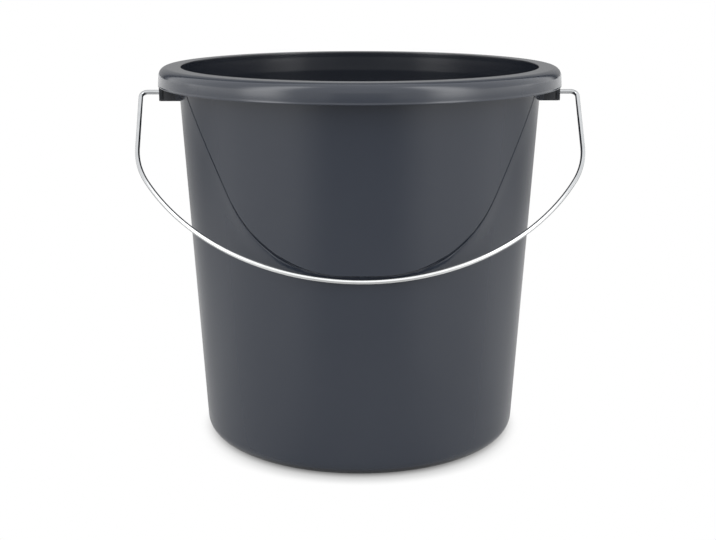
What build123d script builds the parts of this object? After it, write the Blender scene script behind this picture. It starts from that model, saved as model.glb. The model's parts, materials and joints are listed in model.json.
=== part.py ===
"""A moulded household bucket with a steel wire bail, in millimetres.

The bucket stands on the plane z = 0 with its axis on Z. The bail's pivot line runs along X, and the bail
hangs in front of the bucket, on the -Y side, with its bow resting against the wall.
"""

from build123d import *
from math import asin, cos, degrees, radians, sin, sqrt, tan
import os

# Bucket: overall sizes
RIM_DIAMETER = 220.0          # outside of the turned-down skirt, the widest part of the moulding
HEIGHT = 206.2                # floor to the crest of the rim
WALL_TAPER = 3.26             # degrees from upright
WALL = 1.5                    # wall, rim and skirt thickness
RIM_OVERHANG = 11.25          # skirt's outside to the wall's outside, at the skirt's lower edge
RIM_DEPTH = 10.1              # crest to the skirt's lower edge
RIM_ROLL_RADIUS = 4.8         # outer shoulder of the rim
RIM_CREST_RADIUS = 2.4        # inner shoulder of the rim; the crest is flat between the two
SKIRT_EDGE_RADIUS = 0.6       # rounding of the skirt's lower edge

# Bucket: base
FLOOR = 2.0                   # thickness of the bottom
FOOT_HEIGHT = 2.5             # how far the bottom is raised inside its standing ring
FOOT_WIDTH = 8.0              # flat standing ring, measured inwards from the corner rounding
FOOT_SLOPE = 2.0              # run of the sloped inner side of the standing ring
BASE_CORNER_RADIUS = 5.0      # outside corner between wall and base
INSIDE_CORNER_RADIUS = 4.0    # inside corner between wall and bottom

# Bucket: the U-shaped panel that stands proud of the wall, front and back
PANEL_HALF_ANGLE = 68.1       # degrees each side of the centre, at the skirt's lower edge
PANEL_SIDE_ANGLE = 64.3       # degrees above level, slope of its straight sides seen from the front
PANEL_FLAT = 20.0             # straight stretch in the middle of its lower edge
PANEL_CLEARANCE = 0.4         # lower edge to the wire as the bail swings past it
PANEL_PROUD_TOP = 0.25        # how far it stands out under the rim
PANEL_PROUD_BOTTOM = 1.8      # how far it stands out at its lower edge
PANEL_WEB = 2.0               # ledge that joins the panel to the wall below it

# Bucket: the ears that carry the bail
EAR_WIDTH = 23.0              # plate, along the rim
EAR_PLATE = 2.0               # thickness of the plate that the wire passes through
EAR_RIB = 1.6                 # thickness of the two ribs behind the plate
EAR_RIB_INSET = 0.6           # ribs' outer faces behind the plate's ends
EAR_LAND = 2.2                # plastic left below the hole
EAR_CORNER_RADIUS = 1.5       # lower corners of the plate
PIVOT_DROP = 4.8              # hole's centre below the skirt's lower edge

# Bail
WIRE_DIAMETER = 2.5
HOLE_CLEARANCE = 0.35         # wire to the wall of its hole, all round
BAIL_SIDE_GAP = 10.3          # skirt's outside to the centre line of the arm, at the pivot
BAIL_SLACK = 28.4             # reach of the bow past the wall's radius at the pivot
BOW_MARGIN = 10.1             # bow's radius over the half span of the arms
SHOULDER_RADIUS = 48.7        # bend between arm and bow
ARM_LEAN = 2.15               # degrees, arms drawing together towards the bow
ELBOW_RADIUS = 3.5            # bend between the arm and its turned-in end, on the centre line
WIRE_END_GAP = 3.0            # turned-in end to the wall
WIRE_END_CHAMFER = 0.4        # deburred cut end
REST_CLEARANCE = 0.3          # wire to the wall where the bow rests

# Levels and radii that follow from the driving sizes
rim_radius = RIM_DIAMETER / 2
skirt_z = HEIGHT - RIM_DEPTH
pivot_z = skirt_z - PIVOT_DROP
wire_radius = WIRE_DIAMETER / 2
hole_radius = wire_radius + HOLE_CLEARANCE
ear_bottom_z = pivot_z - hole_radius - EAR_LAND
floor_z = FOOT_HEIGHT + FLOOR
taper = radians(WALL_TAPER)
wall_run = WALL / cos(taper)  # the wall's thickness measured level
skirt_edge_radius = min(SKIRT_EDGE_RADIUS, 0.4 * WALL)


def wall_radius(z):
    """Outside radius of the plain wall at height z."""
    return rim_radius - RIM_OVERHANG - (skirt_z - z) * tan(taper)


def inside_radius(z):
    """Inside radius of the plain wall at height z."""
    return wall_radius(z) - wall_run


# Bail at rest: the wire's centre line lies one wire radius and a clearance off the wall
bail_reach = wall_radius(pivot_z) + BAIL_SLACK
arm_half_span = rim_radius + BAIL_SIDE_GAP
bow_radius = arm_half_span + BOW_MARGIN
rest_offset = wire_radius + REST_CLEARANCE + wall_radius(pivot_z) * cos(taper)
rest_lean = asin(rest_offset / bail_reach) - taper
bow_z = pivot_z - bail_reach * cos(rest_lean)

# Panel's lower edge: the height at which it stays clear of the bow's path round the pivot
panel_edge_reach = bail_reach - wire_radius - PANEL_CLEARANCE
panel_foot_radius = wall_radius(0) + PANEL_PROUD_BOTTOM
edge_a = 1 + tan(taper) ** 2
edge_b = pivot_z - panel_foot_radius * tan(taper)
edge_c = panel_foot_radius ** 2 + pivot_z ** 2 - panel_edge_reach ** 2
panel_bottom_z = (edge_b - sqrt(edge_b ** 2 - edge_a * edge_c)) / edge_a


def revolved(points, radii):
    """Solid turned about Z from a closed outline of (radius, height) points with rounded corners."""
    outline = FilletPolyline(*points, radius=radii, close=True)
    return revolve(Plane.XZ * make_face(outline), axis=Axis.Z)


def plain_shell():
    """Bottom, wall, rolled rim and skirt as one turned moulding."""
    channel_z = HEIGHT - WALL
    skirt_inside = rim_radius - WALL
    corner_run = BASE_CORNER_RADIUS * tan((radians(90) - taper) / 2)
    foot_inside = wall_radius(0) - corner_run - FOOT_WIDTH
    corners = [
        ((0, FOOT_HEIGHT), 0),
        ((foot_inside - FOOT_SLOPE, FOOT_HEIGHT), 0),
        ((foot_inside, 0), 0),
        ((wall_radius(0), 0), BASE_CORNER_RADIUS),
        ((wall_radius(channel_z), channel_z), RIM_CREST_RADIUS - WALL),
        ((skirt_inside, channel_z), RIM_ROLL_RADIUS - WALL),
        ((skirt_inside, skirt_z), skirt_edge_radius),
        ((rim_radius, skirt_z), skirt_edge_radius),
        ((rim_radius, HEIGHT), RIM_ROLL_RADIUS),
        ((inside_radius(HEIGHT), HEIGHT), RIM_CREST_RADIUS),
        ((inside_radius(floor_z), floor_z), INSIDE_CORNER_RADIUS),
        ((0, floor_z), 0),
    ]
    return revolved([point for point, radius in corners], [radius for point, radius in corners])


def panel_prism(lower_z):
    """Block with the panel's U-shaped outline as seen from the front, through front and back."""
    top_z = HEIGHT
    slope = radians(PANEL_SIDE_ANGLE)
    side_x = wall_radius(skirt_z) * sin(radians(PANEL_HALF_ANGLE))
    edge_corner_x = side_x - (skirt_z - panel_bottom_z) / tan(slope)
    corner_radius = (edge_corner_x - PANEL_FLAT / 2) / tan(slope / 2)
    # a raised lower edge keeps its distance along the sides too
    inset = lower_z - panel_bottom_z
    corner_x = edge_corner_x - inset * tan(slope / 2)
    top_x = corner_x + (top_z - lower_z) / tan(slope)
    points = [(-top_x, top_z), (-corner_x, lower_z), (corner_x, lower_z), (top_x, top_z)]
    radii = [0, corner_radius - inset, corner_radius - inset, 0]
    outline = make_face(FilletPolyline(*points, radius=radii, close=True))
    return extrude(Plane.XZ * outline, amount=RIM_DIAMETER, both=True)


def proud_panels():
    """Front and back panels: less tapered than the wall, so they stand out more towards their lower edge."""
    top_z = HEIGHT - WALL / 2
    low_z = panel_bottom_z - PANEL_WEB
    middle = wall_run / 2
    slope = (PANEL_PROUD_BOTTOM - PANEL_PROUD_TOP) / (skirt_z - panel_bottom_z)
    proud_low = PANEL_PROUD_BOTTOM + slope * PANEL_WEB
    proud_top = PANEL_PROUD_TOP - slope * (top_z - skirt_z)
    ring = revolved(
        [
            (wall_radius(low_z) - middle, low_z),
            (wall_radius(low_z) + proud_low, low_z),
            (wall_radius(top_z) + proud_top, top_z),
            (wall_radius(top_z) - middle, top_z),
        ],
        [0, 0, 0, 0],
    )
    return ring & panel_prism(panel_bottom_z)


def panel_hollows():
    """Inside of the panels, so that the wall keeps its thickness there."""
    low_z = panel_bottom_z
    top_z = skirt_z
    middle = wall_run / 2
    ring = revolved(
        [
            (inside_radius(low_z) - middle, low_z),
            (inside_radius(low_z) + PANEL_PROUD_BOTTOM, low_z),
            (inside_radius(top_z), top_z),
            (inside_radius(top_z) - middle, top_z),
        ],
        [0, 0, 0, 0],
    )
    return ring & panel_prism(panel_bottom_z + PANEL_WEB)


def ear(side):
    """Plate hung from the skirt and two ribs behind it; side is 1 for +X and -1 for -X."""
    half_width = EAR_WIDTH / 2
    rib_y = half_width - EAR_RIB_INSET - EAR_RIB / 2
    plate_top_z = skirt_z + skirt_edge_radius + WALL
    plate_ring = revolved(
        [
            (rim_radius - EAR_PLATE, ear_bottom_z),
            (rim_radius, ear_bottom_z),
            (rim_radius, plate_top_z),
            (rim_radius - EAR_PLATE, plate_top_z),
        ],
        [0, 0, 0, 0],
    )
    front = FilletPolyline(
        (-half_width, plate_top_z),
        (-half_width, ear_bottom_z),
        (half_width, ear_bottom_z),
        (half_width, plate_top_z),
        radius=[0, EAR_CORNER_RADIUS, EAR_CORNER_RADIUS, 0],
        close=True,
    )
    sideways = Plane(origin=(0, 0, 0), x_dir=(0, side, 0), z_dir=(side, 0, 0))
    plate = plate_ring & extrude(sideways * make_face(front), amount=RIM_DIAMETER)
    rib_space = revolved(
        [
            (wall_radius(ear_bottom_z) - wall_run / 2, ear_bottom_z),
            (rim_radius - EAR_PLATE / 2, ear_bottom_z),
            (rim_radius - WALL / 2, skirt_z),
            (rim_radius - WALL / 2, HEIGHT - WALL / 2),
            (wall_radius(HEIGHT) - wall_run / 2, HEIGHT - WALL / 2),
        ],
        [0, 0, 0, RIM_ROLL_RADIUS - WALL / 2, RIM_CREST_RADIUS - WALL / 2],
    )
    rib_box = Box(rim_radius, EAR_RIB, HEIGHT, align=(Align.MIN, Align.CENTER, Align.MIN))
    ribs = [
        rib_space & (Rot(0, 0, 90 - 90 * side) * Pos(0, y, 0) * rib_box)
        for y in (-rib_y, rib_y)
    ]
    hole = Pos(side * rim_radius, 0, pivot_z) * Rot(0, 90, 0) * Cylinder(hole_radius, 3 * EAR_PLATE)
    return (plate - hole) + ribs


def bucket_body():
    """The whole moulding."""
    body = plain_shell() + proud_panels() - panel_hollows()
    for side in (1, -1):
        body += ear(side)
    return body


def bail_half_path(side):
    """Centre line from the turned-in end to the middle of the bow, in the bail's own plane.

    The plane's x runs along the pivot line and its y from the pivot line towards the bow.
    """
    lean = radians(ARM_LEAN)
    arm = (-sin(lean), cos(lean))
    inward = (-cos(lean), -sin(lean))
    bow_centre_y = bail_reach - bow_radius
    # shoulder's centre: one shoulder radius inside the arm, on the circle that keeps it tangent to the bow
    start_x = arm_half_span + SHOULDER_RADIUS * inward[0]
    start_y = SHOULDER_RADIUS * inward[1] - bow_centre_y
    half_b = start_x * arm[0] + start_y * arm[1]
    spread = start_x ** 2 + start_y ** 2 - (bow_radius - SHOULDER_RADIUS) ** 2
    arm_length = -half_b + sqrt(half_b ** 2 - spread)
    shoulder = (start_x + arm_length * arm[0], start_y + arm_length * arm[1] + bow_centre_y)
    to_bow = Vector(shoulder[0], shoulder[1] - bow_centre_y).normalized()
    arm_end = (arm_half_span + arm_length * arm[0], arm_length * arm[1])
    bow_start = (to_bow.X * bow_radius, to_bow.Y * bow_radius + bow_centre_y)
    elbow_run = ELBOW_RADIUS * tan((radians(90) + lean) / 2)
    wire_end = (wall_radius(pivot_z) + WIRE_END_GAP, 0)
    elbow_in = (arm_half_span - elbow_run, 0)
    elbow_out = (arm_half_span + elbow_run * arm[0], elbow_run * arm[1])

    def point(xy):
        return (side * xy[0], xy[1])

    return [
        Line(point(wire_end), point(elbow_in)),
        TangentArc(point(elbow_in), point(elbow_out), tangent=(side, 0)),
        Line(point(elbow_out), point(arm_end)),
        TangentArc(point(arm_end), point(bow_start), tangent=point(arm)),
        TangentArc(point(bow_start), (0, bail_reach), tangent=point((-to_bow.Y, to_bow.X))),
    ]


def wire_bail():
    """One length of round wire, bent in one plane and turned in at both ends."""
    down = Vector(0, -sin(rest_lean), -cos(rest_lean))
    plane = Plane(origin=(0, 0, pivot_z), x_dir=(1, 0, 0), z_dir=Vector(1, 0, 0).cross(down))
    path = Wire([plane * edge for side in (-1, 1) for edge in bail_half_path(side)])
    end_x = wall_radius(pivot_z) + WIRE_END_GAP
    start = Plane(origin=(-end_x, 0, pivot_z), z_dir=(-1, 0, 0))
    bail = sweep(start * Circle(wire_radius), path=path)
    cut_ends = bail.faces().filter_by(GeomType.PLANE)
    return chamfer(cut_ends.edges(), WIRE_END_CHAMFER)


os.makedirs("parts", exist_ok=True)
for name, piece in (("bucket_body", bucket_body()), ("wire_bail", wire_bail())):
    export_step(piece, f"parts/{name}.step")
    print(name, "volume", round(piece.volume / 1000, 2), "cm3")

print("pivot height", round(pivot_z, 3), "ear lower edge", round(ear_bottom_z, 3))
print("bail lean from straight down", round(degrees(rest_lean), 3), "degrees; reach", round(bail_reach, 3))
print("swing to the back", round(360 - 2 * degrees(rest_lean), 3), "degrees")
print("bow height", round(bow_z, 3), "panel lower edge", round(panel_bottom_z, 3))
print("base radius", round(wall_radius(0), 3), "inside radius at the bottom", round(inside_radius(floor_z), 3))
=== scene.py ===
"""Looks of a moulded bucket with a wire bail, built around its packed frame, in metres.

The file is laid out as an add-on. The property groups hold the sizes and colours, one operator
makes each piece or group of like pieces and one the stage, and main() runs them in order. The
bucket stands on z = 0 with its axis on Z, the bail's pivot line runs along X, and the front is
the -Y side.
"""

import json
from math import acos, asin, atan2, cos, pi, radians, sin, sqrt, tan

import bmesh
import bpy
import numpy as np
from bpy.props import FloatProperty, FloatVectorProperty, PointerProperty
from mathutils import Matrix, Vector


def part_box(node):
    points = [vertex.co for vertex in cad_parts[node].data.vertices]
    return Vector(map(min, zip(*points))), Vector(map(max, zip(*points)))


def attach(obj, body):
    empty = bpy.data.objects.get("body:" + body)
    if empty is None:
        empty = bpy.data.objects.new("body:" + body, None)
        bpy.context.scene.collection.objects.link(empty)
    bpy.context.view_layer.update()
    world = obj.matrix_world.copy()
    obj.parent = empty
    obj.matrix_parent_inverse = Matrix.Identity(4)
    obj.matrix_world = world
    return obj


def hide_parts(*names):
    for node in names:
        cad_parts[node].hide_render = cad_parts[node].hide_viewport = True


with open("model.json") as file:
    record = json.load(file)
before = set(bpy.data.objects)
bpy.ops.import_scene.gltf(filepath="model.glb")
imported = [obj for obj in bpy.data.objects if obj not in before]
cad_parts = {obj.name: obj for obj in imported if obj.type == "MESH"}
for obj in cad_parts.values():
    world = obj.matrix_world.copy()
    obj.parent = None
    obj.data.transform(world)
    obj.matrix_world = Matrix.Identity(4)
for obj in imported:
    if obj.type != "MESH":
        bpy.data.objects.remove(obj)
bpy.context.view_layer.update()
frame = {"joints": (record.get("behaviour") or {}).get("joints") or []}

bl_info = {
    "name": "Bucket with a wire bail",
    "version": (1, 0, 0),
    "blender": (4, 5, 0),
    "location": "View3D > Sidebar > Bucket",
    "description": "Makes the bucket, its ears, its bail and a studio around the packed frame",
    "category": "Object",
}

BODY_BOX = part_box("bucket_body")
PIVOT = Vector(frame["joints"][0]["pos_m"])
MM = 0.001
SAME_PLACE = 1e-6  # nearer than this is the same place

# Fineness of the meshes
COLUMNS = 360  # round the bucket
WALL_ROWS_BELOW = 26  # plain wall, base to the panel's lower edge
WALL_ROWS_ABOVE = 18  # panel, its lower edge to the rim
STEP_ROWS = (  # mm below the panel's edge
    3.2, 2.6, 2.2, 2.0, 1.9, 1.8, 1.7, 1.5, 1.3, 1.1, 0.9, 0.7, 0.5, 0.3, 0.15, 0.05,
    -0.05, -0.15, -0.35, -0.6, -1.0,
)
BAND_LOW = 0.5  # share of the wall's rows at which the step starts
BAND_HIGH = 0.6  # share at which it ends
EAR_STRIPS = 24  # along the rim
EAR_CORNER_STEPS = 8
HOLE_SIDES = 48
WIRE_SIDES = 32
ELBOW_STEPS = 14
SHOULDER_STEPS = 24
BOW_STEPS = 120
FLOOR_SIDES = 96

# Edges that turn by more than this stay sharp in the shading, in degrees
SHELL_CREASE = 55
EAR_CREASE = 40
WIRE_CREASE = 35


# Settings
def number(name, description, default, **more):
    """A number that the user may change."""
    return FloatProperty(name=name, description=description, default=default, **more)


def length(name, description, default):
    """A size."""
    return number(name, description, default, unit="LENGTH", precision=5)


def turn(name, description, default):
    """An angle; the default is in degrees."""
    return number(name, description, radians(default), subtype="ANGLE")


def colour(name, description, default):
    """A colour."""
    return FloatVectorProperty(
        name=name, description=description, default=default, subtype="COLOR", min=0, max=1
    )


def light(name, description, default):
    """The radiance of a light."""
    return number(name, description, default, min=0)


class BucketSizes(bpy.types.PropertyGroup):
    """Sizes of the moulding."""

    rim_diameter: length("Rim diameter", "Outside of the turned-down skirt", 2 * BODY_BOX[1].y)
    height: length("Height", "Floor to the crest of the rim", BODY_BOX[1].z)
    wall_taper: turn("Wall taper", "Wall from upright", 3.26)
    wall: length("Wall", "Thickness of wall, rim and skirt", 0.0015)
    rim_overhang: length("Rim overhang", "Skirt's outside to the wall's outside", 0.01125)
    rim_depth: length("Rim depth", "Crest to the skirt's lower edge", 0.0101)
    rim_roll: length("Rim roll", "Radius of the rim's outer shoulder", 0.0048)
    rim_crest: length("Rim crest", "Radius of the rim's inner shoulder", 0.0004)
    upper_taper: turn("Upper taper", "Upper end of the inside wall, from upright", 2)
    upper_depth: length("Upper depth", "Crest to the foot of that upper end", 0.009)
    mouth: length("Mouth", "Upright band of the inside wall, under the crest", 0.003)
    channel_corner: length("Channel corner", "Corner under the rim, by the wall", 0.0009)
    skirt_edge: length("Skirt edge", "Rounding of the skirt's lower edge", 0.0006)
    skirt_lean: turn("Skirt lean", "Upper part of the skirt from upright", 4.5)
    skirt_foot_lean: turn("Skirt's foot", "Lower part of the skirt from upright", 2)
    skirt_foot: length("Skirt's foot height", "Height of the skirt's lower part", 0.0035)
    skirt_crown: length("Skirt crown", "Radius between the skirt's two parts", 0.08)
    lip: length("Lip", "How far the skirt's lower edge stands out", 0.00018)
    lip_height: length("Lip height", "Height of that edge", 0.0005)
    floor: length("Bottom", "Thickness of the bottom", 0.002)
    foot_height: length("Foot height", "Rise of the bottom inside its standing ring", 0.0025)
    foot_width: length("Foot width", "Flat standing ring", 0.0052)
    foot_slope: length("Foot slope", "Run of the standing ring's inner side", 0.002)
    foot_edge: length("Foot edge", "Rounding of the standing ring's inner edges", 0.0007)
    base_corner: length("Base corner", "Outside corner between wall and base", 0.008)
    inside_corner: length("Inside corner", "Inside corner between wall and bottom", 0.004)


class PanelSizes(bpy.types.PropertyGroup):
    """Sizes of the U-shaped panel, front and back."""

    bottom: length("Lower edge", "Height of the panel's lower edge", 0.1105)
    half_angle: turn("Half angle", "Panel's side from the front, at the skirt's lower edge", 68.1)
    side_angle: turn("Side angle", "Slope of the straight sides, seen from the front", 64.3)
    flat: length("Flat", "Straight stretch of the lower edge", 0.020)
    proud_top: length("Proud at the top", "How far it stands out under the rim", 0.00025)
    proud_bottom: length("Proud at the bottom", "How far it stands out at its lower edge", 0.0018)
    web: length("Ledge", "Inside edge above the outside edge", 0.002)
    groove: length("Groove", "Depth of the fine groove along the panel's upright edges", 0.0005)
    groove_low: length("Lower groove", "Its depth in the panel's lower corners", 0.0009)
    groove_drop: length("Groove's place", "Its outer side, below the panel's edge", 0.0019)
    fade: length("Fade", "Run in which the panel fades out past its upright edges", 0.015)


class EarSizes(bpy.types.PropertyGroup):
    """Sizes of the ears under the rim."""

    width: length("Width", "Plate, along the rim", 0.023)
    plate: length("Plate", "Thickness of the plate", 0.002)
    set_back: length("Set back", "Plate's face behind the skirt's lip", 0.0004)
    rib: length("Rib", "Thickness of the ribs behind the plate", 0.0016)
    rib_inset: length("Rib inset", "Ribs' outer faces behind the plate's ends", 0.0006)
    land: length("Land", "Plastic below the hole", 0.0022)
    corner: length("Corner", "Rounding of the plate's lower corners", 0.0015)
    edge: length("Edge", "Rounding of the sharp edges", 0.0002)


class BailSizes(bpy.types.PropertyGroup):
    """Sizes of the wire bail."""

    wire: length("Wire", "Diameter of the wire", 0.0025)
    hole_clearance: length("Hole clearance", "Wire to the wall of its hole", 0.00035)
    side_gap: length("Side gap", "Skirt's outside to the arm's centre line", 0.0103)
    slack: length("Slack", "Reach of the bow past the wall's radius at the pivot", 0.0284)
    bow_margin: length("Bow margin", "Bow's radius over the arms' half span", 0.0101)
    shoulder: length("Shoulder", "Bend between arm and bow", 0.0487)
    lean: turn("Lean", "Arms drawing together towards the bow", 2.15)
    elbow: length("Elbow", "Bend between the arm and its turned-in end", 0.0035)
    end_gap: length("End gap", "Turned-in end to the wall", 0.003)
    end_chamfer: length("End chamfer", "Deburred cut end", 0.0004)
    rest_clearance: length("Rest clearance", "Wire to the wall where the bow rests", 0.0003)


class FinishSettings(bpy.types.PropertyGroup):
    """Colours of the finishes."""

    plastic: colour("Plastic", "Anthracite of the moulding", (0.0180, 0.0222, 0.0318))
    plastic_pale: colour(
        "Pale plastic", "Anthracite where the pigment is thinner", (0.0192, 0.0235, 0.0330)
    )
    # painted shade: this darker tone stands in for the shade inside the bucket and on the ears
    # under the rim
    plastic_inside: colour("Inside", "Anthracite of inside and ears", (0.009, 0.0108, 0.015))
    scuff: colour("Scuff", "Plastic rubbed on the ground", (0.075, 0.078, 0.085))
    zinc: colour("Zinc", "Bright plating of the wire", (0.72, 0.73, 0.73))
    # painted shade on the arms, and dulled plating in slow patches
    zinc_dull: colour("Dull zinc", "Plating where it is dulled", (0.40, 0.41, 0.42))


class StageSettings(bpy.types.PropertyGroup):
    """Camera and light."""

    focal: number("Focal length", "In millimetres, on a 36 mm wide frame", 62.07)
    eye: FloatVectorProperty(
        name="Eye", description="Where the camera stands", default=(-0.0129, -0.6851, 0.2614),
        unit="LENGTH",
    )
    pitch: turn("Pitch", "Camera's tilt below level", 14.056)
    yaw: turn("Yaw", "Camera's turn about the upright", -1.0)
    top: light("Top", "Softbox overhead", 1.55)
    front: light("Front", "Softbox over the camera", 1.45)
    horizon: light("Horizon", "Far end of the floor, beside the camera", 1.45)
    camera_side: light("Camera side", "The camera and what stands behind it", 0.7)
    side_glow: light("Side glow", "Far end of the floor, added to the side panels", 1.0)
    sides: light("Sides", "White panels to the left and right", 1.45)
    back: light("Back", "White backdrop", 0.43)
    strips: light("Strips", "Two strip lights beside the front, left and right", 3.6)


SETTINGS = {
    "bucket_sizes": BucketSizes,
    "bucket_panel": PanelSizes,
    "bucket_ears": EarSizes,
    "bucket_bail": BailSizes,
    "bucket_finish": FinishSettings,
    "bucket_stage": StageSettings,
}


# Sizes that follow from the driving ones
EDGE_ROUNDS = 8  # rounds in which the height of the panel's edge settles


class Moulding:
    """Radii and levels of the moulding that follow from the sizes on the scene."""

    def __init__(self, scene):
        s = self.sizes = scene.bucket_sizes
        self.panel = scene.bucket_panel
        self.rim_radius = s.rim_diameter / 2
        self.skirt_z = s.height - s.rim_depth
        self.floor_z = s.foot_height + s.floor
        self.channel_z = s.height - s.wall
        self.wall_run = s.wall / cos(s.wall_taper)

    def wall_radius(self, z):
        """Outside radius of the plain wall at height z."""
        under_rim = self.rim_radius - self.sizes.rim_overhang
        return under_rim - (self.skirt_z - z) * tan(self.sizes.wall_taper)

    def inside_radius(self, z):
        """Inside radius of the plain wall at height z."""
        return self.wall_radius(z) - self.wall_run

    def proud(self, z):
        """How far the panel's outside stands out at height z; it fades out under the rim."""
        p = self.panel
        slope = (p.proud_bottom - p.proud_top) / (self.skirt_z - p.bottom)
        fade = np.clip((self.channel_z - z) / (self.channel_z - self.skirt_z), 0, 1)
        return (p.proud_bottom - slope * (z - p.bottom)) * fade

    def hollow(self, z):
        """How far the panel's inside is pressed out at height z."""
        p = self.panel
        return p.proud_bottom * np.clip((self.skirt_z - z) / (self.skirt_z - p.bottom), 0, 1)

    def panel_outline(self, x, inset):
        """Height of the panel's edge at x from the middle; an inset moves it inwards."""
        p = self.panel
        side_x = self.wall_radius(self.skirt_z) * sin(p.half_angle)
        corner_x = side_x - (self.skirt_z - p.bottom) / tan(p.side_angle)
        radius = (corner_x - p.flat / 2) / tan(p.side_angle / 2) - inset
        low = p.bottom + inset
        run = np.clip(x - p.flat / 2, 0, radius * sin(p.side_angle))
        bend = low + radius - np.sqrt(radius ** 2 - run ** 2)
        beyond = np.maximum(x - p.flat / 2 - radius * sin(p.side_angle), 0)
        return bend + beyond * tan(p.side_angle)

    def panel_edge(self, angle, inset, highest):
        """Height of the panel's edge on the wall, at an angle from the front or back."""
        z = np.full_like(angle, self.panel.bottom)
        for _ in range(EDGE_ROUNDS):
            x = (self.wall_radius(z) + self.proud(z)) * np.abs(np.sin(angle))
            z = np.minimum(self.panel_outline(x, inset), highest)
        return z


# Modelling helpers
def deselect_all():
    """Nothing selected, so that the next operator acts on the new piece alone."""
    bpy.ops.object.select_all(action="DESELECT")


def take(*pieces):
    """In object mode, selects the pieces alone and makes the first one active."""
    deselect_all()
    for piece in pieces:
        piece.select_set(True)
    bpy.context.view_layer.objects.active = pieces[0]


def pick_edges(choose):
    """In edit mode, selects the edges that choose() accepts, by their place."""
    bpy.ops.mesh.select_mode(type="EDGE")
    bpy.ops.mesh.select_all(action="DESELECT")
    mesh = bmesh.from_edit_mesh(bpy.context.edit_object.data)
    for edge in mesh.edges:
        if choose(edge):
            edge.select_set(True)
    mesh.select_flush_mode()
    bmesh.update_edit_mesh(bpy.context.edit_object.data)


def draw_line(name, points):
    """A new piece, left in edit mode: one vertex extruded along the points."""
    deselect_all()
    bpy.ops.mesh.primitive_plane_add(size=MM, location=(0, 0, 0))
    piece = bpy.context.active_object
    piece.name = piece.data.name = name
    bpy.ops.object.mode_set(mode="EDIT")
    bpy.ops.mesh.select_mode(type="VERT")
    bpy.ops.mesh.merge(type="CENTER")
    bpy.ops.transform.translate(value=points[0])
    for here, there in zip(points, points[1:]):
        bpy.ops.mesh.extrude_region_move(TRANSFORM_OT_translate={"value": there - here})
    return piece


def close_up():
    """In edit mode, merges doubles and turns all faces outwards."""
    bpy.ops.mesh.select_all(action="SELECT")
    bpy.ops.mesh.remove_doubles(threshold=SAME_PLACE)
    bpy.ops.mesh.normals_make_consistent(inside=False)


def smooth(piece, crease):
    """Smooth shading, but for the edges that turn by more than the crease's degrees."""
    take(piece)
    bpy.ops.object.shade_smooth_by_angle(angle=radians(crease), keep_sharp_edges=False)


def apply_modifier(piece, kind, **settings):
    """Adds a modifier with the settings and applies it."""
    take(piece)
    modifier = piece.modifiers.new(kind.lower(), kind)
    for name, value in settings.items():
        setattr(modifier, name, value)
    bpy.ops.object.modifier_apply(modifier=modifier.name)


def finish_piece(piece, body, material):
    """Gives the piece its finish in a material slot, and its body."""
    piece.data.materials.clear()
    piece.data.materials.append(material)
    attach(piece, body)


def rounding(before, corner, after, radius, steps):
    """Points of the arc that rounds a corner of a flat outline, tangent point to tangent point."""
    to_before = (before - corner).normalized()
    to_after = (after - corner).normalized()
    half = acos(max(-1, min(1, to_before.dot(to_after)))) / 2
    centre = corner + (to_before + to_after).normalized() * radius / sin(half)
    start = corner + to_before * radius / tan(half) - centre
    end = corner + to_after * radius / tan(half) - centre
    sweep = pi - 2 * half

    def spoke(t):
        return (start * sin((1 - t) * sweep) + end * sin(t * sweep)) / sin(sweep)

    return [centre + spoke(i / steps) for i in range(steps + 1)]


def divided(start, end, shares):
    """Points between start and end at the shares of the way."""
    return [start.lerp(end, t) for t in shares]


def even(count):
    """Shares that divide a run into count equal parts, without its ends."""
    return [i / count for i in range(1, count)]


def ramp(value, low, high):
    """Share from 0 at low to 1 at high, with soft ends."""
    t = np.clip((value - low) / (high - low), 0, 1)
    return t * t * (3 - 2 * t)


# The moulding
LIP_ROUND = 0.6  # rounding of the lip, as a share of its height
MOUTH_BEND = 0.03  # radius below the upright band of the inside wall
UPPER_BEND = 0.3  # radius below the upper end of the inside wall
ON_WALL = 0.2  # share of the wall's thickness within which a vertex is on a face
EDGE_END = 1.6 * MM  # panel's edge to the upper end of the wall, at least

# The panel's step, in mm below the panel's edge
STEP_GRID = (-1.0, 3.0, 801)  # first and last place at which it is worked out, and how many
STEP_START = -0.12  # where it starts to fall
STEP_CRISP = 0.2  # run of its crisp edge
STEP_END = 2.2  # where its soft hollow ends
STEP_HOLLOW = 1.9  # run of that hollow

# The groove's section: rises above its outer side, in groove depths, and shares of the depth there
GROOVE_RISES = (0, 0.12, 0.7, 1.4)
GROOVE_SHARES = (0, 1, 1, 0)

# Squared slopes of the panel's edge, level to upright, between which the section changes
FADE_SLOPES = (0.08, 0.35)  # the step gives way to the fade
FADE_MOST = 0.9  # largest share of the fade
GROOVE_SLOPES = (0.05, 0.25)  # the groove sets in
DEPTH_SLOPES = (0.4, 1.2)  # its depth goes from the lower corners' to the upright edges'
SLOPE_STEP = radians(0.25)  # turn to either side over which the slope is taken


def wall_shares():
    """Shares of the wall's height at which its rows lie at first: plain wall, step, panel."""
    below = [BAND_LOW * t for t in even(WALL_ROWS_BELOW)]
    span = STEP_ROWS[0] - STEP_ROWS[-1]
    band = BAND_HIGH - BAND_LOW
    step = [BAND_LOW + band * (STEP_ROWS[0] - drop) / span for drop in STEP_ROWS]
    above = [BAND_HIGH + (1 - BAND_HIGH) * t for t in even(WALL_ROWS_ABOVE)]
    return below + step + above


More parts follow.
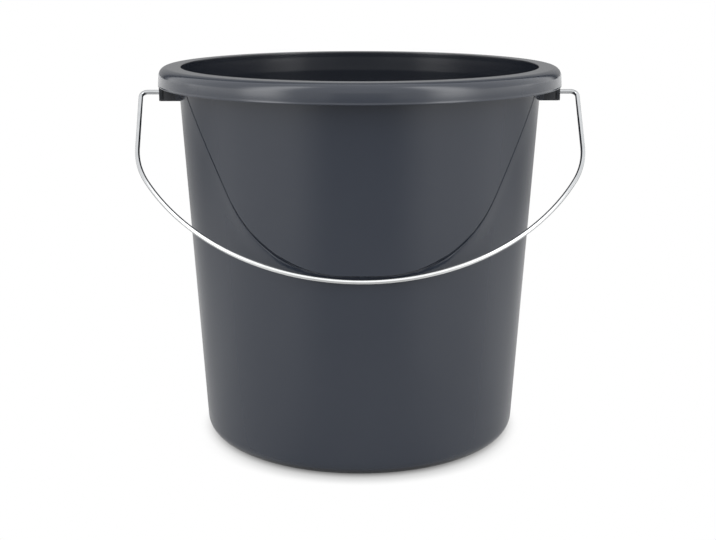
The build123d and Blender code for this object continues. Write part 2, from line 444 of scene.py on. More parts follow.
def shell_outline(m):
    """Half section of the plain shell, and the lower and upper ends of its two wall runs."""
    s = m.sizes
    skirt_inside = m.rim_radius - s.wall
    skirt_face = m.rim_radius - s.lip
    lip_round = LIP_ROUND * s.lip_height
    foot_z = m.skirt_z + s.skirt_foot
    foot_r = skirt_face - (s.skirt_foot - 2 * s.lip_height) * tan(s.skirt_foot_lean)
    shoulder_r = foot_r - (s.height - foot_z) * tan(s.skirt_lean)
    upper_z = s.height - s.upper_depth
    upper_r = m.inside_radius(upper_z)
    crest_r = upper_r + (s.upper_depth - s.mouth) * tan(s.upper_taper)
    corner_run = s.base_corner * tan((pi / 2 - s.wall_taper) / 2)
    foot_inside = m.wall_radius(0) - corner_run - s.foot_width
    upwards = wall_shares()
    downwards = [1 - t for t in upwards][::-1]
    corners = (  # radius, height, rounding, its steps, shares that divide the run after it
        (0, s.foot_height, 0, 0, even(8)),
        (foot_inside - s.foot_slope, s.foot_height, s.foot_edge, 3, ()),
        (foot_inside, 0, s.foot_edge, 3, ()),
        (m.wall_radius(0), 0, s.base_corner, 10, upwards),
        (m.wall_radius(m.channel_z), m.channel_z, s.channel_corner, 6, ()),
        (skirt_inside, m.channel_z, s.rim_roll - s.wall, 10, ()),
        (skirt_inside, m.skirt_z, s.skirt_edge, 5, ()),
        (m.rim_radius, m.skirt_z, lip_round, 5, ()),
        (m.rim_radius, m.skirt_z + s.lip_height, lip_round, 4, ()),
        (skirt_face, m.skirt_z + 2 * s.lip_height, s.lip_height, 4, ()),
        (foot_r, foot_z, s.skirt_crown, 8, ()),
        (shoulder_r, s.height, s.rim_roll, 22, even(4)),
        (crest_r, s.height, s.rim_crest, 10, even(2)),
        (crest_r, s.height - s.mouth, MOUTH_BEND, 4, even(2)),
        (upper_r, upper_z, UPPER_BEND, 8, downwards),
        (m.inside_radius(m.floor_z), m.floor_z, s.inside_corner, 8, even(10)),
        (0, m.floor_z, 0, 0, ()),
    )
    places = [Vector(corner[:2]) for corner in corners]
    arcs = [[places[0]]]
    for before, place, after, corner in zip(places, places[1:], places[2:], corners[1:]):
        arcs.append(rounding(before, place, after, *corner[2:4]))
    arcs.append([places[-1]])
    runs = [(arc[-1], following[0]) for arc, following in zip(arcs, arcs[1:])]
    shares = [corner[4] for corner in corners]
    outline = []
    for arc, run, along in zip(arcs, runs, shares):
        outline += arc + divided(*run, along)
    outline += arcs[-1]
    outer_run = runs[shares.index(upwards)]
    inner_run = runs[shares.index(downwards)][::-1]
    return outline, outer_run, inner_run


def step_shape(drop):
    """Share of the panel's height at a drop below its edge: crisp edge, ledge, soft hollow."""
    grid = np.linspace(*STEP_GRID) * MM
    rise = np.clip((grid - STEP_START * MM) / (STEP_CRISP * MM), 0, 1)
    tail = np.clip((STEP_END * MM - grid) / (STEP_HOLLOW * MM), 0, 1) ** 3
    steep = rise * rise * (3 - 2 * rise) * tail
    share = 1 - np.cumsum(steep) / steep.sum()
    return np.interp(drop, grid, share)


def row_heights(share, low, high, edge):
    """Heights of the wall's rows once the step's rows follow the panel's edge."""
    band_low = edge - STEP_ROWS[0] * MM
    band_high = edge - STEP_ROWS[-1] * MM
    plain = low + (band_low - low) * share / BAND_LOW
    step = band_low + (band_high - band_low) * (share - BAND_LOW) / (BAND_HIGH - BAND_LOW)
    panel = band_high + (high - band_high) * (share - BAND_HIGH) / (1 - BAND_HIGH)
    return np.where(share < BAND_LOW, plain, np.where(share < BAND_HIGH, step, panel))


def outside_section(m, angle, edge, highest, drop):
    """Share of the panel's height, and depth of the groove, at a drop below the panel's edge."""
    p = m.panel
    left = m.panel_edge(np.abs(angle - SLOPE_STEP), 0.0, highest)
    right = m.panel_edge(angle + SLOPE_STEP, 0.0, highest)
    steep = ((right - left) / (2 * SLOPE_STEP * m.wall_radius(edge))) ** 2
    fade = FADE_MOST * ramp(steep, *FADE_SLOPES)
    share = (1 - fade) * step_shape(drop) + fade * ramp(-drop, -p.fade, 0)
    depth = p.groove_low + (p.groove - p.groove_low) * ramp(steep, *DEPTH_SLOPES)
    rise = (p.groove_drop - drop) / np.sqrt(1 + steep)
    section = np.interp(rise / depth, GROOVE_RISES, GROOVE_SHARES)
    return share, depth * ramp(steep, *GROOVE_SLOPES) * section


def press_panels(piece, m, outer_run, inner_run):
    """Moves the wall's rows to the panel's edge and stands the panel out, front and back."""
    co = np.zeros(len(piece.data.vertices) * 3)
    piece.data.vertices.foreach_get("co", co)
    co = co.reshape(-1, 3)
    radius = np.hypot(co[:, 0], co[:, 1])
    angle = np.arctan2(np.abs(co[:, 0]), np.abs(co[:, 1]))
    near = ON_WALL * m.sizes.wall
    z = co[:, 2].copy()
    walls = (
        (outer_run, m.wall_radius, m.proud, 0.0, True),
        (inner_run, m.inside_radius, m.hollow, m.panel.web, False),
    )
    for (low, high), wall, stand_out, inset, outside in walls:
        on_run = (z > low.y - SAME_PLACE) & (z < high.y + SAME_PLACE)
        on_wall = on_run & (np.abs(radius - wall(z)) < near)
        highest = high.y - EDGE_END
        edge = m.panel_edge(angle[on_wall], inset, highest)
        heights = row_heights((z[on_wall] - low.y) / (high.y - low.y), low.y, high.y, edge)
        drop = edge - heights
        if outside:
            share, groove = outside_section(m, angle[on_wall], edge, highest, drop)
        else:
            share, groove = 1 - step_shape(-drop), 0
        scale = (wall(heights) + stand_out(heights) * share - groove) / radius[on_wall]
        co[on_wall, 0] *= scale
        co[on_wall, 1] *= scale
        co[on_wall, 2] = heights
    piece.data.vertices.foreach_set("co", co.ravel())
    piece.data.update()


class BUCKET_OT_shell(bpy.types.Operator):
    """Turns the bottom, wall, rim and skirt and presses the panels into the wall"""

    bl_idname = "bucket.shell"
    bl_label = "Shell"

    def execute(self, context):
        m = Moulding(context.scene)
        outline, outer_run, inner_run = shell_outline(m)
        shell = draw_line("bucket_shell", [Vector((0, -p.x, p.y)) for p in outline])
        bpy.ops.mesh.select_all(action="SELECT")
        bpy.ops.mesh.spin(steps=COLUMNS, angle=2 * pi, center=(0, 0, 0), axis=(0, 0, 1))
        close_up()
        bpy.ops.object.mode_set(mode="OBJECT")
        press_panels(shell, m, outer_run, inner_run)
        smooth(shell, SHELL_CREASE)
        finish_piece(shell, "bucket", plastic_material(context.scene))
        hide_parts("bucket_body")
        return {"FINISHED"}


# The ears
SHARP_EDGE = radians(50)  # edges that turn by more are rounded
ROLL_TURN = 10  # degrees between the points of a rib's upper end


def ear_bottom(ears, hole_radius):
    """Height of the ear's lower edge."""
    return PIVOT.z - hole_radius - ears.land


def round_edges(piece, width):
    """Rounds the piece's sharp edges."""
    apply_modifier(
        piece, "BEVEL", width=width, segments=2, limit_method="ANGLE", angle_limit=SHARP_EDGE
    )


def ear_plate(m, ears, hole_radius):
    """Curved plate under the skirt, with the hole for the wire."""
    bottom = ear_bottom(ears, hole_radius)
    top = m.skirt_z + 2 * m.sizes.wall
    outside = m.rim_radius - ears.set_back
    middle = outside - ears.plate / 2
    half = ears.width / 2
    deselect_all()
    bpy.ops.mesh.primitive_cube_add(size=1, location=(0, 0, 0))
    plate = bpy.context.active_object
    bpy.ops.object.mode_set(mode="EDIT")
    bpy.ops.transform.resize(value=(ears.plate, ears.width, top - bottom))
    bpy.ops.transform.translate(value=(middle, 0, (top + bottom) / 2))

    def lower_corner(edge):
        ends = [v.co for v in edge.verts]
        at_side = all(abs(abs(p.y) - half) < SAME_PLACE for p in ends)
        return at_side and all(abs(p.z - bottom) < SAME_PLACE for p in ends)

    pick_edges(lower_corner)
    bpy.ops.mesh.bevel(offset=ears.corner, offset_type="OFFSET", segments=EAR_CORNER_STEPS)
    for i in range(1, EAR_STRIPS):
        bpy.ops.mesh.select_all(action="SELECT")
        cut = (0, half * (2 * i / EAR_STRIPS - 1), 0)
        bpy.ops.mesh.bisect(plane_co=cut, plane_no=(0, 1, 0))
    bpy.ops.object.mode_set(mode="OBJECT")
    for v in plate.data.vertices:
        layer = outside if v.co.x > middle else outside - ears.plate
        v.co.x = sqrt(layer ** 2 - v.co.y ** 2)
    deselect_all()
    bpy.ops.mesh.primitive_cylinder_add(
        vertices=HOLE_SIDES, radius=hole_radius, depth=4 * ears.plate,
        location=(outside, 0, PIVOT.z), rotation=(0, pi / 2, 0),
    )
    drill = bpy.context.active_object
    apply_modifier(plate, "BOOLEAN", object=drill, operation="DIFFERENCE", solver="EXACT")
    bpy.data.objects.remove(drill)
    round_edges(plate, ears.edge)
    return plate


def ear_rib(m, ears, hole_radius, y):
    """Rib behind the plate, its upper end inside the rim and its inner end inside the wall."""
    s = m.sizes
    bottom = ear_bottom(ears, hole_radius)
    half_wall = s.wall / 2
    plate_middle = m.rim_radius - ears.set_back - ears.plate / 2
    roll_centre = Vector((m.rim_radius - s.rim_roll, s.height - s.rim_roll))
    roll = s.rim_roll - half_wall
    wall_top = Vector((m.wall_radius(s.height) - m.wall_run / 2, s.height - half_wall))
    wall_foot = Vector((m.wall_radius(bottom) - m.wall_run / 2, bottom))
    turns = [radians(d) for d in range(0, 91, ROLL_TURN)]
    outline = [Vector((plate_middle, bottom)), Vector((plate_middle, m.skirt_z))]
    outline += [roll_centre + roll * Vector((cos(a), sin(a))) for a in turns]
    outline += rounding(outline[-1], wall_top, wall_foot, s.channel_corner, EAR_CORNER_STEPS)
    outline += [wall_foot]
    side = y - ears.rib / 2
    rib = draw_line("rib", [Vector((sqrt(p.x ** 2 - y ** 2), side, p.y)) for p in outline])
    bpy.ops.mesh.select_all(action="SELECT")
    bpy.ops.mesh.edge_face_add()
    bpy.ops.mesh.extrude_region_move(TRANSFORM_OT_translate={"value": (0, ears.rib, 0)})
    close_up()
    bpy.ops.object.mode_set(mode="OBJECT")
    round_edges(rib, ears.edge)
    return rib


class BUCKET_OT_ears(bpy.types.Operator):
    """Makes the two ears that carry the bail, each a plate and two ribs of the same moulding"""

    bl_idname = "bucket.ears"
    bl_label = "Ears"

    def execute(self, context):
        m = Moulding(context.scene)
        ears = context.scene.bucket_ears
        bail = context.scene.bucket_bail
        hole_radius = bail.wire / 2 + bail.hole_clearance
        rib_y = ears.width / 2 - ears.rib_inset - ears.rib / 2
        material = plastic_material(context.scene)
        for name, turned in (("ear_right", 0), ("ear_left", pi)):
            parts = [ear_plate(m, ears, hole_radius)]
            parts += [ear_rib(m, ears, hole_radius, y) for y in (-rib_y, rib_y)]
            take(*parts)
            bpy.ops.object.join()
            ear = bpy.context.active_object
            ear.name = ear.data.name = name
            bpy.ops.object.mode_set(mode="EDIT")
            bpy.ops.mesh.select_all(action="SELECT")
            bpy.ops.transform.rotate(value=turned, orient_axis="Z", center_override=(0, 0, 0))
            bpy.ops.object.mode_set(mode="OBJECT")
            smooth(ear, EAR_CREASE)
            finish_piece(ear, "bucket", material)
        return {"FINISHED"}


# The bail
class BailLine:
    """Centre line of the bail's right half: x along the pivot line, y from it towards the bow."""

    def __init__(self, m, b):
        wall_at_pivot = m.wall_radius(PIVOT.z)
        reach = wall_at_pivot + b.slack
        half_span = m.rim_radius + b.side_gap
        bow_radius = half_span + b.bow_margin
        bow_y = reach - bow_radius
        from_wall = b.wire / 2 + b.rest_clearance
        self.rest = asin((from_wall + wall_at_pivot * cos(m.sizes.wall_taper)) / reach)
        self.rest -= m.sizes.wall_taper

        # where the arm's line, drawn in by the shoulder's radius, meets the bow drawn in likewise
        arm = Vector((-sin(b.lean), cos(b.lean)))
        inward = Vector((-cos(b.lean), -sin(b.lean)))
        start = Vector((half_span, -bow_y)) + inward * b.shoulder
        half_b = start.dot(arm)
        inner = (bow_radius - b.shoulder) ** 2
        arm_length = -half_b + sqrt(half_b ** 2 - start.length_squared + inner)
        shoulder = start + arm * arm_length

        self.half_bow = atan2(shoulder.x, shoulder.y)
        self.shoulder_turn = pi / 2 - b.lean - self.half_bow
        self.elbow_turn = pi / 2 + b.lean
        elbow_run = b.elbow * tan(self.elbow_turn / 2)
        self.end = (wall_at_pivot + b.end_gap, 0)
        self.end_full = (self.end[0] + b.end_chamfer, 0)
        self.elbow_start = (half_span - elbow_run, 0)
        self.elbow_centre = (half_span - elbow_run, b.elbow)
        self.arm_top = Vector((half_span, 0)) + arm * elbow_run
        self.arm_end = Vector((half_span, 0)) + arm * arm_length
        self.shoulder_centre = (shoulder.x, shoulder.y + bow_y)
        to_bow = Vector((sin(self.half_bow), cos(self.half_bow)))
        self.bow_start = to_bow * bow_radius + Vector((0, bow_y))
        self.bow_centre = (0, bow_y)


class BUCKET_OT_bail(bpy.types.Operator):
    """Bends the bail from one ring of wire: extruded along the runs and spun round the bends"""

    bl_idname = "bucket.bail"
    bl_label = "Bail"

    def execute(self, context):
        b = context.scene.bucket_bail
        line = BailLine(Moulding(context.scene), b)
        along = Vector((1, 0, 0))
        down = Vector((0, -sin(line.rest), -cos(line.rest)))
        axis = along.cross(down)

        def right(point):
            return PIVOT + along * point[0] + down * point[1]

        def left(point):
            return right((-point[0], point[1]))

        here = left(line.end)
        deselect_all()
        bpy.ops.mesh.primitive_circle_add(
            vertices=WIRE_SIDES, radius=b.wire / 2 - b.end_chamfer, fill_type="NGON",
            location=(0, 0, 0),
        )
        bail = bpy.context.active_object
        bail.name = bail.data.name = "bail_wire"
        bpy.ops.object.mode_set(mode="EDIT")
        bpy.ops.transform.rotate(value=pi / 2, orient_axis="Y", center_override=(0, 0, 0))
        bpy.ops.transform.translate(value=here)
        pick_edges(lambda edge: True)

        def straight(there, size=1.0):
            nonlocal here
            bpy.ops.mesh.extrude_edges_move(TRANSFORM_OT_translate={"value": there - here})
            here = there
            if size != 1.0:
                bpy.ops.transform.resize(value=(size, size, size), center_override=here)

        def bend(centre, angle, steps, there):
            nonlocal here
            bpy.ops.mesh.spin(
                steps=steps, angle=angle, center=centre, axis=axis, use_auto_merge=False
            )
            here = there

        wide = b.wire / (b.wire - 2 * b.end_chamfer)
        elbow = (line.elbow_turn, ELBOW_STEPS)
        shoulder = (line.shoulder_turn, SHOULDER_STEPS)
        straight(left(line.end_full), wide)
        straight(left(line.elbow_start))
        bend(left(line.elbow_centre), *elbow, left(line.arm_top))
        straight(left(line.arm_end))
        bend(left(line.shoulder_centre), *shoulder, left(line.bow_start))
        bend(right(line.bow_centre), 2 * line.half_bow, BOW_STEPS, right(line.bow_start))
        bend(right(line.shoulder_centre), *shoulder, right(line.arm_end))
        straight(right(line.arm_top))
        bend(right(line.elbow_centre), *elbow, right(line.elbow_start))
        straight(right(line.end_full))
        straight(right(line.end), 1 / wide)
        bpy.ops.mesh.edge_face_add()
        close_up()
        bpy.ops.object.mode_set(mode="OBJECT")
        smooth(bail, WIRE_CREASE)
        finish_piece(bail, "bail", zinc_material(context.scene.bucket_finish))
        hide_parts("wire_bail")
        return {"FINISHED"}


# Finishes
# Painted shade: where the inside and the ears take the darker tone that stands in for their shade
INSIDE_SHADE_EDGE = (0.1 * MM, 0.9 * MM)  # outside the inner wall, where the darker inside ends
EAR_SHADE_EDGE = (3.8 * MM, 4.2 * MM)  # outside the inner wall, where the ears' darker tone starts
EAR_SHADE_TOP = 0.3 * MM  # below the skirt, where that tone starts to end
PLASTIC_ROUGH = (0.17, 0.19)
RUB_ROUGH = 0.2  # added where the plastic is rubbed
PLASTIC_BUMP = (0.12, 0.00006)  # strength and height of the grain
PLASTIC_IOR = 1.5
ZINC_ROUGH = (0.05, 0.12)
ZINC_BUMP = (0.1, 0.00004)
# Painted shade: the arms take the darker plating tone, which stands in for their dimmer
# reflections
ARMS = (0.07, 0.115)  # from the middle, where the bow turns into the arms
ARMS_SHADE = 0.85  # share of the darker plating tone there, painted shade
PATCHES_DULL = 0.15  # share of it in patches


class Board:
    """A node tree with short ways to add and join its nodes."""

    def __init__(self, tree):
        self.tree = tree

    def add(self, kind, **settings):
        """A new node with its properties set."""
        node = self.tree.nodes.new(kind)
        for name, value in settings.items():
            setattr(node, name, value)
        return node

    def join(self, start, end):
        """Links an output to an input."""
        self.tree.links.new(start, end)

    def feed(self, socket, value):
        """Sets an input to a plain value, or links an output to it."""
        if isinstance(value, bpy.types.NodeSocket):
            self.join(value, socket)
        else:
            socket.default_value = value

    def calc(self, operation, first, second=0.0):
        """A Math node of one or two values, each a number or an output."""
        node = self.add("ShaderNodeMath", operation=operation)
        self.feed(node.inputs[0], first)
        self.feed(node.inputs[1], second)
        return node.outputs[0]

    def spread(self, value, low, high, new_low, new_high):
        """A Map Range node from low-high to new_low-new_high, held inside the new range."""
        node = self.add("ShaderNodeMapRange")
        self.join(value, node.inputs["Value"])
        ranges = {"From Min": low, "From Max": high, "To Min": new_low, "To Max": new_high}
        for name, number in ranges.items():
            self.feed(node.inputs[name], number)
        return node.outputs["Result"]

    def blend(self, share, first, second):
        """A colour Mix node; first and second are colours or outputs."""
        node = self.add("ShaderNodeMix", data_type="RGBA")
        self.join(share, node.inputs[0])
        for socket, value in zip((node.inputs[6], node.inputs[7]), (first, second)):
            linked = isinstance(value, bpy.types.NodeSocket)
            self.feed(socket, value if linked else (*value, 1))
        return node.outputs[2]

    def noise(self, vector, scale, detail, roughness):
        """A Noise texture's value."""
        node = self.add("ShaderNodeTexNoise")
        self.join(vector, node.inputs["Vector"])
        for name, value in {"Scale": scale, "Detail": detail, "Roughness": roughness}.items():
            self.feed(node.inputs[name], value)
        return node.outputs["Fac"]

    def axes(self, vector):
        """The X, Y and Z of a vector."""
        node = self.add("ShaderNodeSeparateXYZ")
        self.join(vector, node.inputs[0])
        return node.outputs

    def object_place(self):
        """Object coordinates."""
        return self.add("ShaderNodeTexCoord").outputs["Object"]

    def place_group(self, build, vector, **values):
        """Places the group that build() makes once; underscores stand for its sockets' spaces."""
        tree = bpy.data.node_groups.get(build.__name__) or build()
        node = self.add("ShaderNodeGroup", node_tree=tree)
        self.join(vector, node.inputs["Vector"])
        for name, value in values.items():
            self.feed(node.inputs[name.replace("_", " ")], value)
        return node.outputs


def node_group(name, inputs, outputs):
    """An empty node group of a vector and numbers: its board, its inputs and its outputs."""
    tree = bpy.data.node_groups.new(name, "ShaderNodeTree")
    tree.interface.new_socket("Vector", in_out="INPUT", socket_type="NodeSocketVector")
    for label, default in inputs.items():
        socket = tree.interface.new_socket(label, in_out="INPUT", socket_type="NodeSocketFloat")
        socket.default_value = default
    for label in outputs:
        tree.interface.new_socket(label, in_out="OUTPUT", socket_type="NodeSocketFloat")
    board = Board(tree)
    return board, board.add("NodeGroupInput").outputs, board.add("NodeGroupOutput").inputs


def surface_grain():
    """Fine grain and slow mottling of a moulded or plated surface."""
    board, given, made = node_group(
        "surface_grain", {"Grain scale": 2000.0, "Mottle scale": 40.0}, ("Grain", "Mottle")
    )
    board.join(board.noise(given["Vector"], given["Grain scale"], 2.0, 0.6), made["Grain"])
    mottle = board.noise(given["Vector"], given["Mottle scale"], 4.0, 0.55)
    board.join(board.spread(mottle, 0.3, 0.7, 0.0, 1.0), made["Mottle"])
    return board.tree


def rubbed_band():
    """Mask of a rubbed band: full at distance 0, fading over the spread, broken into patches."""
    board, given, made = node_group(
        "rubbed_band", {"Distance": 0.0, "Spread": 0.003, "Patch scale": 300.0}, ("Mask",)
    )
    band = board.spread(given["Distance"], 0.0, given["Spread"], 1.0, 0.0)
    patches = board.noise(given["Vector"], given["Patch scale"], 5.0, 0.65)
    broken = board.spread(patches, 0.45, 0.68, 0.0, 1.0)
    board.join(board.calc("MULTIPLY", band, broken), made["Mask"])
    return board.tree


def empty_board(owner):
    """The board of a material or world, with nothing on it."""
    owner.use_nodes = True
    owner.node_tree.nodes.clear()
    return Board(owner.node_tree)


def new_material(name):
    """A material, its board and its Principled shader."""
    material = bpy.data.materials.new(name)
    board = empty_board(material)
    shader = board.add("ShaderNodeBsdfPrincipled")
    output = board.add("ShaderNodeOutputMaterial")
    board.join(shader.outputs["BSDF"], output.inputs["Surface"])
    return material, board, shader


def bump_grain(board, grain, shader, strength, height):
    """Stands the grain out of the surface."""
    bump = board.add("ShaderNodeBump")
    bump.inputs["Strength"].default_value = strength
    bump.inputs["Distance"].default_value = height
    board.join(grain["Grain"], bump.inputs["Height"])
    board.join(bump.outputs["Normal"], shader.inputs["Normal"])


def plastic_material(scene):
    """Glossy anthracite moulding with painted shade, darker inside and on the ears; scuffed under
    the base.
    """
    if "anthracite_plastic" in bpy.data.materials:
        return bpy.data.materials["anthracite_plastic"]
    finish = scene.bucket_finish
    m = Moulding(scene)
    material, board, shader = new_material("anthracite_plastic")
    place = board.object_place()
    axes = board.axes(place)
    squares = [board.calc("POWER", axes[name], 2.0) for name in ("X", "Y")]
    from_axis = board.calc("SQRT", board.calc("ADD", *squares))
    taper = board.calc("MULTIPLY", axes["Z"], tan(m.sizes.wall_taper))
    from_foot = board.calc("SUBTRACT", from_axis, taper)
    foot = m.inside_radius(0)
    # painted shade: the inside and the ears get the darker tone, where they lie in shade
    inside = board.spread(from_foot, *(foot + edge for edge in INSIDE_SHADE_EDGE), 1.0, 0.0)
    ears = board.calc(
        "MULTIPLY",
        board.spread(from_foot, *(foot + edge for edge in EAR_SHADE_EDGE), 0.0, 1.0),
        board.spread(axes["Z"], m.skirt_z - EAR_SHADE_TOP, m.skirt_z, 1.0, 0.0),
    )
    grain = board.place_group(surface_grain, place, Grain_scale=1600.0, Mottle_scale=28.0)
    rubbed = board.place_group(
        rubbed_band, place, Distance=axes["Z"], Spread=0.0016, Patch_scale=420.0
    )["Mask"]
    tone = board.blend(grain["Mottle"], finish.plastic, finish.plastic_pale)
    tone = board.blend(board.calc("MAXIMUM", inside, ears), tone, finish.plastic_inside)
    board.join(board.blend(rubbed, tone, finish.scuff), shader.inputs["Base Color"])
    rough = board.spread(grain["Mottle"], 0.0, 1.0, *PLASTIC_ROUGH)
    rough = board.calc("ADD", rough, board.calc("MULTIPLY", rubbed, RUB_ROUGH))
    board.join(rough, shader.inputs["Roughness"])
    bump_grain(board, grain, shader, *PLASTIC_BUMP)
    shader.inputs["IOR"].default_value = PLASTIC_IOR
    return material


def zinc_material(finish):
    """Bright zinc on drawn wire, darker on the arms as painted shade, and dulled in slow patches.
    """
    material, board, shader = new_material("bright_zinc")
    place = board.object_place()
    grain = board.place_group(surface_grain, place, Grain_scale=3000.0, Mottle_scale=220.0)
    from_middle = board.calc("ABSOLUTE", board.axes(place)["X"])
    # painted shade: the arms darker than the bow; slow patches of dulled plating on top
    arms_shade = board.spread(from_middle, *ARMS, 0.0, ARMS_SHADE)
    dulled_and_shaded = board.calc("ADD", arms_shade, board.calc("MULTIPLY", grain["Mottle"], PATCHES_DULL))
    board.join(board.blend(dulled_and_shaded, finish.zinc, finish.zinc_dull), shader.inputs["Base Color"])
    rough = board.spread(grain["Mottle"], 0.0, 1.0, *ZINC_ROUGH)
    board.join(rough, shader.inputs["Roughness"])
    bump_grain(board, grain, shader, *ZINC_BUMP)
    shader.inputs["Metallic"].default_value = 1.0
    return material


# The stage
# Softboxes: setting, azimuth from the camera's side, half width, lower and upper edge, soft border
SOFTBOXES = (  # in degrees
    ("top", 0, 200, 60, 100, 6),
    ("front", 0, 62, 4, 60, 6),
    ("horizon", -39, 23, -10, 4, 6),
    ("horizon", 39, 23, -10, 4, 6),
    ("camera_side", 0, 16, -10, 4, 6),
    ("strips", -55, 11, -10, 66, 16),
    ("strips", 51, 11, -10, 66, 16),
    ("sides", -100, 38, -10, 60, 6),
    ("sides", 100, 38, -10, 60, 6),
    ("side_glow", -86, 24, -10, 7, 6),
    ("side_glow", 86, 24, -10, 7, 6),
    ("back", 180, 32, -10, 55, 6),
)

# The floor: azimuth, half width and soft border of its parts, in degrees
FLOOR_FRONT = (0, 30, 30)
FLOOR_BACK = (180, 78, 40)
SHADOW_FRONT = (0, 48, 60)

# Its tones to all but the camera, at the sides, behind the object and in front of it; the darker
# tones in front are a painted shadow of the camera's side
FLOOR_CLOSE = (0.58, 0.48, 0.43)
FLOOR_FAR = (0.68, 0.27, 0.28)
FLOOR_END = 0.68  # behind the object, at the floor's end
FLOOR_RUN = (0.15, 0.7)  # from the object, where the close tones turn into the far ones
FLOOR_END_RUN = (1.2, 2.6)  # where the far tone behind turns into that of the end
FLOOR_RADIUS = 12

# Its shadow to the camera: its reach, and the openness and white between which it runs
SHADOW_REACH = 0.015
SHADOW_WIDE = (0.0, 0.85, 0.15, 1.0)  # in front of the object
SHADOW_TIGHT = (0.1, 0.65, 0.35, 1.0)  # elsewhere
SHADOW_SAMPLES = 16

FRAME_WIDTH = 36  # mm, to which the focal length belongs
CLIP = (0.01, 100)  # nearest and farthest that the camera sees


def softbox():
    """Mask of a softbox in the sky: full between its edges, with soft borders."""
    board, given, made = node_group(
        "softbox",
        {"Azimuth": 0.0, "Half width": 0.5, "Low": 0.0, "High": 1.0, "Feather": 0.1},
        ("Mask",),
    )
    axes = board.axes(given["Vector"])
    azimuth = board.calc("ARCTAN2", axes["X"], board.calc("MULTIPLY", axes["Y"], -1.0))
    aside = board.calc("WRAP", board.calc("SUBTRACT", azimuth, given["Azimuth"]), pi)
    aside.node.inputs[2].default_value = -pi
    elevation = board.calc("ARCSINE", axes["Z"])
    depths = (
        board.calc("SUBTRACT", given["Half width"], board.calc("ABSOLUTE", aside)),
        board.calc("SUBTRACT", elevation, given["Low"]),
        board.calc("SUBTRACT", given["High"], elevation),
    )
    half = board.calc("MULTIPLY", given["Feather"], 0.5)
    mask = 1.0
    for depth in depths:
        border = board.spread(depth, board.calc("MULTIPLY", half, -1.0), half, 0.0, 1.0)
        border.node.interpolation_type = "SMOOTHSTEP"
        mask = board.calc("MULTIPLY", border, mask)
    board.join(mask, made["Mask"])
    return board.tree


def floor_part(board, place, azimuth, half_width, border):
    """Mask of the part of the floor that lies in a direction from the object."""
    return board.place_group(
        softbox, place, Azimuth=radians(azimuth), Half_width=radians(half_width),
        Low=-1.0, High=1.0, Feather=radians(border),
    )["Mask"]


def grey(tone):
    """A neutral colour."""
    return (tone, tone, tone)


def floor_material():
    """Pale floor, plain white to the camera but for a painted soft shadow close to the object; to
    other rays darker in front, a painted shadow.
    """
    material = bpy.data.materials.new("white_floor")
    board = empty_board(material)
    output = board.add("ShaderNodeOutputMaterial")
    place = board.object_place()
    front = floor_part(board, place, *FLOOR_FRONT)
    back = floor_part(board, place, *FLOOR_BACK)
    distance = board.add("ShaderNodeVectorMath", operation="LENGTH")
    board.join(place, distance.inputs[0])
    far = board.spread(distance.outputs["Value"], *FLOOR_RUN, 0.0, 1.0)
    farthest = board.spread(distance.outputs["Value"], *FLOOR_END_RUN, 0.0, 1.0)

    def all_round(side, behind, before):
        return board.blend(front, board.blend(back, side, behind), before)

    # painted shadow: the floor darker in front, on the camera's side
    close_by = all_round(*(grey(tone) for tone in FLOOR_CLOSE))
    side, behind, before = (grey(tone) for tone in FLOOR_FAR)
    far_off = all_round(side, board.blend(farthest, behind, grey(FLOOR_END)), before)
    lit = board.add("ShaderNodeBsdfDiffuse")
    board.join(board.blend(far, close_by, far_off), lit.inputs["Color"])
    shade = board.add("ShaderNodeAmbientOcclusion", samples=SHADOW_SAMPLES)
    shade.inputs["Distance"].default_value = SHADOW_REACH
    tight, wide = (
        board.spread(shade.outputs["AO"], *levels) for levels in (SHADOW_TIGHT, SHADOW_WIDE)
    )
    white = board.add("ShaderNodeEmission")
    shadow_front = floor_part(board, place, *SHADOW_FRONT)
    board.join(board.blend(shadow_front, tight, wide), white.inputs["Color"])
    either = board.add("ShaderNodeMixShader")
    board.join(board.add("ShaderNodeLightPath").outputs["Is Camera Ray"], either.inputs["Fac"])
    board.join(lit.outputs[0], either.inputs[1])
    board.join(white.outputs[0], either.inputs[2])
    board.join(either.outputs[0], output.inputs["Surface"])
    return material


def studio_world(stage):
    """Softboxes all round; plain white where the camera looks past the floor."""
    world = bpy.data.worlds.new("studio")
    bpy.context.scene.world = world
    board = empty_board(world)
    output = board.add("ShaderNodeOutputWorld")
    background = board.add("ShaderNodeBackground")
    direction = board.add("ShaderNodeTexCoord").outputs["Generated"]
    total = 0.0
    for setting, *angles in SOFTBOXES:
        azimuth, half_width, low, high, feather = (radians(angle) for angle in angles)
        mask = board.place_group(
            softbox, direction, Azimuth=azimuth, Half_width=half_width, Low=low,
            High=high, Feather=feather,
        )["Mask"]
        glow = board.calc("MULTIPLY", mask, getattr(stage, setting))
        total = board.calc("ADD", glow, total)
    camera = board.add("ShaderNodeLightPath").outputs["Is Camera Ray"]
    board.join(board.calc("MAXIMUM", total, camera), background.inputs["Color"])
    board.join(background.outputs[0], output.inputs["Surface"])


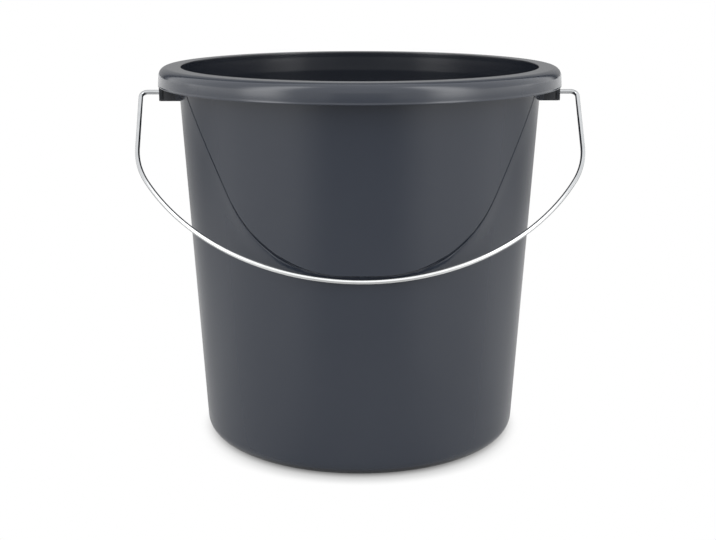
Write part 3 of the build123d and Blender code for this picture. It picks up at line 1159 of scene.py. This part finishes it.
class BUCKET_OT_stage(bpy.types.Operator):
    """Sets the floor, the soft studio light and the camera"""

    bl_idname = "bucket.stage"
    bl_label = "Stage"

    def execute(self, context):
        scene = context.scene
        s = scene.bucket_stage
        deselect_all()
        bpy.ops.mesh.primitive_circle_add(
            vertices=FLOOR_SIDES, radius=FLOOR_RADIUS, fill_type="NGON", location=(0, 0, 0)
        )
        floor = context.active_object
        floor.name = floor.data.name = "floor"
        floor.data.materials.append(floor_material())
        studio_world(s)
        data = bpy.data.cameras.new("camera")
        data.lens = s.focal
        data.sensor_width = FRAME_WIDTH
        data.sensor_fit = "HORIZONTAL"
        data.clip_start, data.clip_end = CLIP
        camera = bpy.data.objects.new("camera", data)
        scene.collection.objects.link(camera)
        camera.location = s.eye
        camera.rotation_euler = (pi / 2 - s.pitch, 0, s.yaw)
        scene.camera = camera
        scene.view_settings.view_transform = "Standard"
        return {"FINISHED"}


# The add-on
class VIEW3D_PT_bucket(bpy.types.Panel):
    """Lists the operators and the settings"""

    bl_label = "Bucket"
    bl_idname = "VIEW3D_PT_bucket"
    bl_space_type = "VIEW_3D"
    bl_region_type = "UI"
    bl_category = "Bucket"

    def draw(self, context):
        layout = self.layout
        for operator in PIECES:
            layout.operator(operator.bl_idname)
        for name, group in SETTINGS.items():
            box = layout.box()
            box.label(text=group.__doc__)
            for prop in group.__annotations__:
                box.prop(getattr(context.scene, name), prop)


PIECES = (BUCKET_OT_shell, BUCKET_OT_ears, BUCKET_OT_bail, BUCKET_OT_stage)
CLASSES = (*SETTINGS.values(), *PIECES, VIEW3D_PT_bucket)


def register():
    """Registers the classes and puts the settings on the scene."""
    for cls in CLASSES:
        bpy.utils.register_class(cls)
    for name, group in SETTINGS.items():
        setattr(bpy.types.Scene, name, PointerProperty(type=group))


def unregister():
    """Takes the settings and the classes away again."""
    for name in SETTINGS:
        delattr(bpy.types.Scene, name)
    for cls in reversed(CLASSES):
        bpy.utils.unregister_class(cls)


def main():
    """Makes every piece and the stage."""
    register()
    bpy.ops.bucket.shell()
    bpy.ops.bucket.ears()
    bpy.ops.bucket.bail()
    bpy.ops.bucket.stage()


if __name__ == "__main__":
    main()
